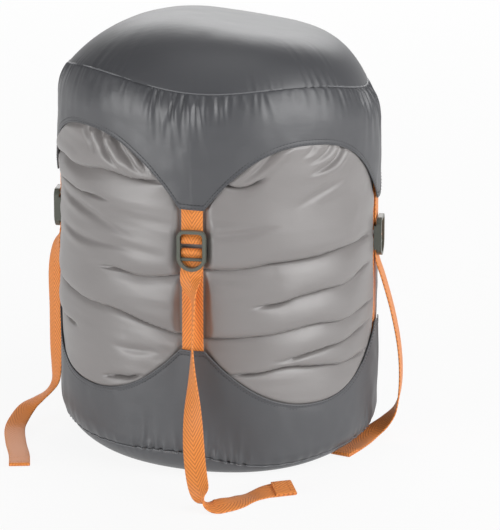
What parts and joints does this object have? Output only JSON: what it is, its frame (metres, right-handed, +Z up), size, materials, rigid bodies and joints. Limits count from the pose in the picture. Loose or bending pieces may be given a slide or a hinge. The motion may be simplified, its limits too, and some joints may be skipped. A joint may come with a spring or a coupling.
{
  "type": "compression sack",
  "caption": "Packed compression sack: a fabric tube between a flat base and a domed lid, drawn down by webbing straps in ladder buckles, with a drawcord mouth under the lid.",
  "frame": {"origin": "middle of the base, on the floor", "axes": "+Z up through the lid, -Y towards the front strap, +X to the right of it"},
  "size_m": [0.2891, 0.337, 0.3157],
  "materials": {
    "dark_nylon": "coated plain-weave nylon with a slight sheen",
    "grey_nylon": "light coated plain-weave nylon with a satin sheen",
    "binding_tape": "folded edge with two rows of stitching",
    "webbing": "herringbone webbing",
    "buckle_plastic": "moulded acetal, fine texture",
    "lock_plastic": "moulded, fine texture",
    "cord": "braided cord",
    "spring_steel": "drawn wire"
  },
  "bodies": {
    "base": {"base_panel": "dark_nylon", "base_skirt": "dark_nylon", "base_binding": "binding_tape", "body_tube": "grey_nylon", "strap_front": "webbing", "strap_right": "webbing", "strap_back": "webbing", "strap_left": "webbing"},
    "lid": {"lid_panel": "dark_nylon", "lid_skirt": "dark_nylon", "lid_binding": "binding_tape", "loop_front": "webbing", "loop_right": "webbing", "loop_back": "webbing", "loop_left": "webbing"},
    "mouth": {"collar": "grey_nylon", "mouth_hem": "grey_nylon", "drawcord": "cord", "lock_barrel": "lock_plastic", "lock_spring": "spring_steel"},
    "button": {"lock_button": "lock_plastic"},
    "buckle_front": {"buckle_front": "buckle_plastic"},
    "buckle_right": {"buckle_right": "buckle_plastic"},
    "buckle_back": {"buckle_back": "buckle_plastic"},
    "buckle_left": {"buckle_left": "buckle_plastic"}
  },
  "joints": [
    {"name": "lid_slide", "type": "slide", "parent": "base", "child": "lid", "axis": [0, 0, 1], "range_m": [-0.03, 0.18], "deforming": ["body_tube", "strap_front", "strap_right", "strap_back", "strap_left"]},
    {"name": "mouth_slide", "type": "slide", "parent": "base", "child": "mouth", "axis": [0, 0, 1], "range_m": [-0.03, 0.18]},
    {"name": "buckle_front_tilt", "type": "hinge", "parent": "lid", "child": "buckle_front", "pos_m": [0, -0.116, 0.17556], "axis": [-1, 0, 0], "range_deg": [0, 20], "deforming": ["loop_front", "strap_front"]},
    {"name": "buckle_right_tilt", "type": "hinge", "parent": "lid", "child": "buckle_right", "pos_m": [0.116, 0, 0.15916], "axis": [0, -1, 0], "range_deg": [0, 20], "deforming": ["loop_right", "strap_right"]},
    {"name": "buckle_back_tilt", "type": "hinge", "parent": "lid", "child": "buckle_back", "pos_m": [0, 0.116, 0.15464], "axis": [1, 0, 0], "range_deg": [0, 20], "deforming": ["loop_back", "strap_back"]},
    {"name": "buckle_left_tilt", "type": "hinge", "parent": "lid", "child": "buckle_left", "pos_m": [-0.116, 0, 0.17104], "axis": [0, 1, 0], "range_deg": [0, 20], "deforming": ["loop_left", "strap_left"]},
    {"name": "button_press", "type": "slide", "parent": "mouth", "child": "button", "axis": [0, 0, -1], "range_m": [0, 0.003], "stiffness_N_per_m": 300, "springref_m": -0.004, "deforming": ["lock_spring"]}
  ],
  "couplings": [
    {"joint": "mouth_slide", "follows": "lid_slide", "ratio": 1}
  ]
}
